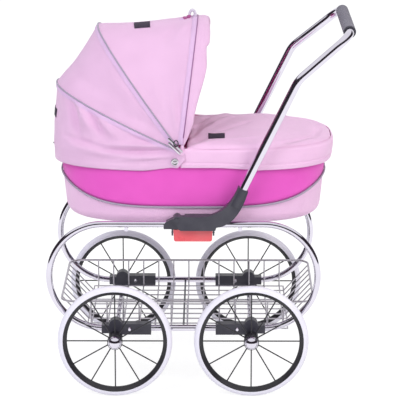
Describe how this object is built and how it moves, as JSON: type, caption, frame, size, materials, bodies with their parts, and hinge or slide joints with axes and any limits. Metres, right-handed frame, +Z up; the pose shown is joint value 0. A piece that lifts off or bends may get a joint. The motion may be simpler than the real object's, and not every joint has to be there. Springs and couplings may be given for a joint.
{
  "type": "doll pram stroller",
  "caption": "Doll's pram with a padded cot and folding hood on two chrome side hoops, with spoked wheels, a wire basket and a push handle that swings forward over the hood.",
  "frame": {"origin": "on the ground, midway between the four wheels' lowest points", "axes": "+X towards the handle and the foot of the cot, +Y to the right of a person pushing towards -X, +Z up"},
  "size_m": [0.569, 0.4382, 0.685],
  "materials": {
    "chrome": "polished",
    "dark_metal": "satin",
    "dark_plastic": "satin",
    "rim_black": "satin",
    "tyre_white": "matte",
    "light_pink": "woven polyester",
    "hot_pink": "woven polyester",
    "piping": "satin cord",
    "latch_red": "satin",
    "foam": "foam",
    "board": "hardboard",
    "mattress": "quilted cotton"
  },
  "bodies": {
    "chassis": {"side_hoop_left": "chrome", "side_hoop_right": "chrome", "axle_front": "chrome", "axle_rear": "chrome", "wheel_bracket_front_left": "dark_plastic", "wheel_bracket_front_right": "dark_plastic", "wheel_bracket_rear_left": "dark_plastic", "wheel_bracket_rear_right": "dark_plastic", "bracket_screws": "chrome", "tie_rod": "dark_metal", "cot_rails": "chrome", "basket_floor": "chrome", "basket_side_left": "chrome", "basket_side_right": "chrome", "basket_end_front": "chrome", "basket_end_rear": "chrome", "arm_bracket_left": "dark_plastic", "arm_bracket_right": "dark_plastic", "arm_pins": "chrome", "latch_pins": "chrome", "latch_springs": "chrome"},
    "handle": {"handle_arm_left": "dark_plastic", "handle_arm_right": "dark_plastic", "handle_tube": "chrome", "handle_grip": "foam", "grip_rings": "dark_plastic"},
    "latch_left": {"release_latch_left": "latch_red"},
    "latch_right": {"release_latch_right": "latch_red"},
    "cot": {"cot_shell": "light_pink", "cot_band": "hot_pink", "cot_piping": "piping", "cot_board": "board", "mattress": "mattress", "cot_feet": "dark_plastic", "apron": "light_pink", "hood_pins": "chrome", "hood_skirt": "light_pink", "hood_snaps": "chrome"},
    "hood_rear": {"hood_rear_bow": "chrome", "hood_rear_panel": "light_pink"},
    "hood_mid": {"hood_mid_bow": "chrome", "hood_front_panel": "light_pink"},
    "hood_front": {"hood_front_bow": "chrome", "hood_brim": "light_pink"},
    "wheel_front_left": {"front_left_tyre": "tyre_white", "front_left_rim": "rim_black", "front_left_spoked_hub": "rim_black", "front_left_hub_cap": "chrome"},
    "wheel_front_right": {"front_right_tyre": "tyre_white", "front_right_rim": "rim_black", "front_right_spoked_hub": "rim_black", "front_right_hub_cap": "chrome"},
    "wheel_rear_left": {"rear_left_tyre": "tyre_white", "rear_left_rim": "rim_black", "rear_left_spoked_hub": "rim_black", "rear_left_hub_cap": "chrome"},
    "wheel_rear_right": {"rear_right_tyre": "tyre_white", "rear_right_rim": "rim_black", "rear_right_spoked_hub": "rim_black", "rear_right_hub_cap": "chrome"}
  },
  "joints": [
    {"name": "handle_fold", "type": "hinge", "parent": "chassis", "child": "handle", "pos_m": [-0.011, 0, 0.3315], "axis": [0, -1, 0], "range_deg": [0, 110]},
    {"name": "latch_left_press", "type": "hinge", "parent": "chassis", "child": "latch_left", "pos_m": [0.018, -0.162, 0.3045], "axis": [1, 0, 0], "range_deg": [0, 12], "stiffness_Nm_per_rad": 0.05},
    {"name": "latch_right_press", "type": "hinge", "parent": "chassis", "child": "latch_right", "pos_m": [0.018, 0.162, 0.3045], "axis": [-1, 0, 0], "range_deg": [0, 12], "stiffness_Nm_per_rad": 0.05},
    {"name": "cot_lift", "type": "slide", "parent": "chassis", "child": "cot", "axis": [0, 0, 1], "range_m": [0, 0.06]},
    {"name": "hood_fold", "type": "hinge", "parent": "cot", "child": "hood_rear", "pos_m": [-0.003, 0, 0.4538], "axis": [0, -1, 0], "range_deg": [0, 14.5], "deforming": ["hood_skirt"]},
    {"name": "hood_mid_fold", "type": "hinge", "parent": "hood_rear", "child": "hood_mid", "pos_m": [-0.003, 0, 0.4538], "axis": [0, -1, 0], "range_deg": [0, 24], "deforming": ["hood_rear_panel"]},
    {"name": "hood_front_fold", "type": "hinge", "parent": "hood_mid", "child": "hood_front", "pos_m": [-0.003, 0, 0.4538], "axis": [0, -1, 0], "range_deg": [0, 38.5], "deforming": ["hood_front_panel"]},
    {"name": "front_left_roll", "type": "hinge", "parent": "chassis", "child": "wheel_front_left", "pos_m": [-0.126, -0.196, 0.106], "axis": [0, 1, 0], "continuous": true},
    {"name": "front_right_roll", "type": "hinge", "parent": "chassis", "child": "wheel_front_right", "pos_m": [-0.126, 0.196, 0.106], "axis": [0, 1, 0], "continuous": true},
    {"name": "rear_left_roll", "type": "hinge", "parent": "chassis", "child": "wheel_rear_left", "pos_m": [0.126, -0.196, 0.106], "axis": [0, 1, 0], "continuous": true},
    {"name": "rear_right_roll", "type": "hinge", "parent": "chassis", "child": "wheel_rear_right", "pos_m": [0.126, 0.196, 0.106], "axis": [0, 1, 0], "continuous": true}
  ],
  "couplings": [
    {"joint": "hood_mid_fold", "follows": "hood_fold", "ratio": 1.6552},
    {"joint": "hood_front_fold", "follows": "hood_fold", "ratio": 2.6552}
  ]
}
